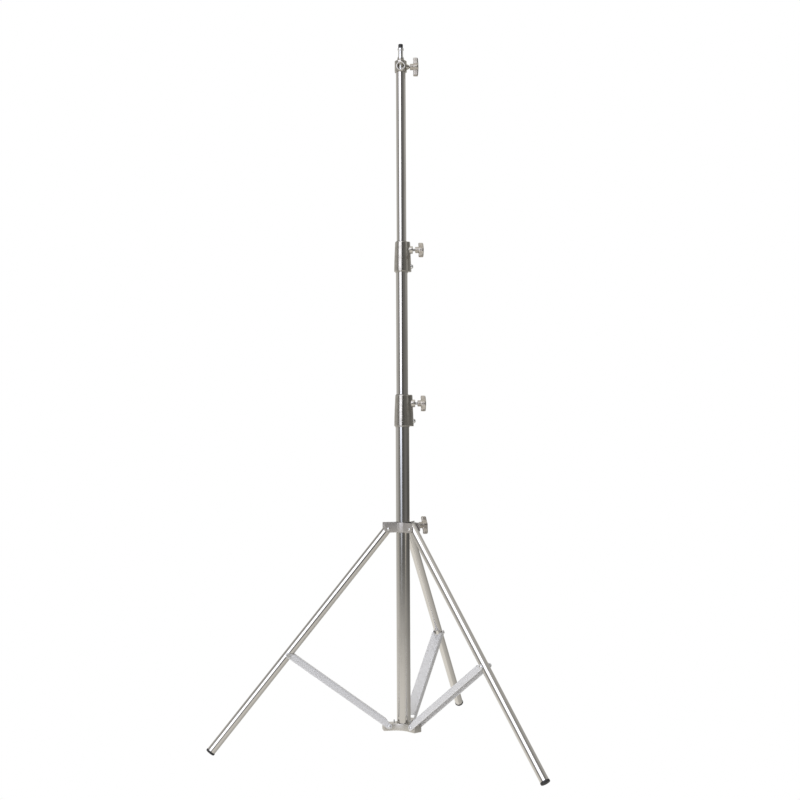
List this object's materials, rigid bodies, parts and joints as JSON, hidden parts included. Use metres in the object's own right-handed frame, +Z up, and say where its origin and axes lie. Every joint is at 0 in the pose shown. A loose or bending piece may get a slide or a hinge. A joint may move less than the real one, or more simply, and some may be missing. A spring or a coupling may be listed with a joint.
{
  "type": "telescopic lighting stand",
  "caption": "Free-standing steel lighting stand: sliding tube sections clamped by T-knobs, a folding strutted leg base and a stud spigot on top.",
  "frame": {"origin": "on the floor, on the axis of the column", "axes": "+Z up along the column, towards the spigot; +X is the side that the clamp knobs of the mast point to"},
  "size_m": [0.8151, 0.8476, 1.7897],
  "materials": {
    "tube_steel": "polished stainless tube with fine lengthwise draw lines",
    "cast_metal": "plated zinc casting, semi-bright",
    "knob_metal": "plated zinc knob, semi-bright, slightly grained",
    "spider_cast": "satin die-cast aluminium",
    "yoke_plate": "pressed stainless sheet, tumbled satin",
    "strut_sheet": "pale satin pressed channel",
    "fastener": "bright plated rivets, bolts and nuts",
    "screw_steel": "bright turned steel",
    "black_nylon": "moulded black nylon",
    "foot_rubber": "moulded black foot cap, slightly scuffed"
  },
  "bodies": {
    "column": {"column_tube": "tube_steel", "column_plug": "black_nylon", "column_bolt": "fastener", "spider": "spider_cast", "spider_rivets": "fastener", "spider_pins": "fastener", "lower_collar": "cast_metal", "lower_collar_screw": "fastener", "lower_collar_bush": "black_nylon", "lower_pressure_pad": "black_nylon"},
    "lower_knob": {"lower_knob": "knob_metal", "lower_knob_screw": "screw_steel"},
    "middle_riser": {"middle_tube": "tube_steel", "middle_tube_bush": "black_nylon", "upper_collar": "cast_metal", "upper_collar_screw": "fastener", "upper_collar_bush": "black_nylon", "upper_pressure_pad": "black_nylon"},
    "upper_knob": {"upper_knob": "knob_metal", "upper_knob_screw": "screw_steel"},
    "top_riser": {"top_tube": "tube_steel", "top_tube_bush": "black_nylon", "head": "cast_metal", "head_pin": "fastener"},
    "head_knob": {"head_knob": "knob_metal", "head_knob_screw": "screw_steel"},
    "spigot": {"spigot": "screw_steel"},
    "thread_cap": {"thread_cap": "black_nylon"},
    "yoke": {"yoke_plate_front": "yoke_plate", "yoke_plate_right": "yoke_plate", "yoke_plate_rear": "yoke_plate", "yoke_sleeve": "black_nylon", "yoke_rivets": "fastener", "yoke_boss": "yoke_plate", "yoke_pressure_pad": "black_nylon"},
    "yoke_knob": {"yoke_knob": "knob_metal", "yoke_knob_screw": "screw_steel"},
    "left_strut": {"left_strut": "strut_sheet", "left_strut_bolt": "fastener", "left_strut_nut": "fastener"},
    "left_leg": {"left_leg_tube": "tube_steel", "left_leg_plug": "black_nylon", "left_foot": "foot_rubber"},
    "right_strut": {"right_strut": "strut_sheet", "right_strut_bolt": "fastener", "right_strut_nut": "fastener"},
    "right_leg": {"right_leg_tube": "tube_steel", "right_leg_plug": "black_nylon", "right_foot": "foot_rubber"},
    "back_strut": {"back_strut": "strut_sheet", "back_strut_bolt": "fastener", "back_strut_nut": "fastener"},
    "back_leg": {"back_leg_tube": "tube_steel", "back_leg_plug": "black_nylon", "back_foot": "foot_rubber"}
  },
  "joints": [
    {"name": "yoke_slide", "type": "slide", "parent": "column", "child": "yoke", "axis": [0, 0, 1], "range_m": [0, 0.218]},
    {"name": "middle_riser_slide", "type": "slide", "parent": "column", "child": "middle_riser", "axis": [0, 0, 1], "range_m": [-0.311, 0.407]},
    {"name": "top_riser_slide", "type": "slide", "parent": "middle_riser", "child": "top_riser", "axis": [0, 0, 1], "range_m": [-0.415, 0.366]},
    {"name": "spigot_lift", "type": "slide", "parent": "top_riser", "child": "spigot", "axis": [0, 0, 1], "range_m": [0, 0.045]},
    {"name": "thread_cap_lift", "type": "slide", "parent": "spigot", "child": "thread_cap", "axis": [0, 0, 1], "range_m": [0, 0.012]},
    {"name": "lower_knob_turn", "type": "hinge", "parent": "column", "child": "lower_knob", "pos_m": [0.045, 0, 0.8678], "axis": [1, 0, 0], "continuous": true},
    {"name": "upper_knob_turn", "type": "hinge", "parent": "middle_riser", "child": "upper_knob", "pos_m": [0.041, 0, 1.2602], "axis": [1, 0, 0], "continuous": true},
    {"name": "head_knob_turn", "type": "hinge", "parent": "top_riser", "child": "head_knob", "pos_m": [0.03, 0, 1.731], "axis": [1, 0, 0], "continuous": true},
    {"name": "yoke_knob_turn", "type": "hinge", "parent": "yoke", "child": "yoke_knob", "pos_m": [0.04716, 0.00891, 0.55721], "axis": [0.9826, 0.1857, 0], "continuous": true},
    {"name": "left_strut_fold", "type": "hinge", "parent": "column", "child": "left_strut", "pos_m": [-0.03881, -0.00733, 0.0527], "axis": [-0.1857, 0.9826, 0], "range_deg": [0, 49.51]},
    {"name": "left_leg_fold", "type": "hinge", "parent": "left_strut", "child": "left_leg", "pos_m": [-0.28882, -0.05457, 0.24126], "axis": [0.1857, -0.9826, 0], "range_deg": [0, 85.84]},
    {"name": "right_strut_fold", "type": "hinge", "parent": "column", "child": "right_strut", "pos_m": [0.02576, -0.02995, 0.0527], "axis": [-0.7581, -0.6521, 0], "range_deg": [0, 49.51]},
    {"name": "right_leg_fold", "type": "hinge", "parent": "right_strut", "child": "right_leg", "pos_m": [0.19167, -0.22284, 0.24126], "axis": [0.7581, 0.6521, 0], "range_deg": [0, 85.84]},
    {"name": "back_strut_fold", "type": "hinge", "parent": "column", "child": "back_strut", "pos_m": [0.01306, 0.03728, 0.0527], "axis": [0.9438, -0.3305, 0], "range_deg": [0, 49.51]},
    {"name": "back_leg_fold", "type": "hinge", "parent": "back_strut", "child": "back_leg", "pos_m": [0.09715, 0.27741, 0.24126], "axis": [-0.9438, 0.3305, 0], "range_deg": [0, 85.84]}
  ],
  "couplings": [
    {"joint": "left_strut_fold", "follows": "yoke_slide", "rad_per_m": 3.9596},
    {"joint": "left_leg_fold", "follows": "yoke_slide", "rad_per_m": 6.8685},
    {"joint": "right_strut_fold", "follows": "yoke_slide", "rad_per_m": 3.9596},
    {"joint": "right_leg_fold", "follows": "yoke_slide", "rad_per_m": 6.8685},
    {"joint": "back_strut_fold", "follows": "yoke_slide", "rad_per_m": 3.9596},
    {"joint": "back_leg_fold", "follows": "yoke_slide", "rad_per_m": 6.8685}
  ]
}
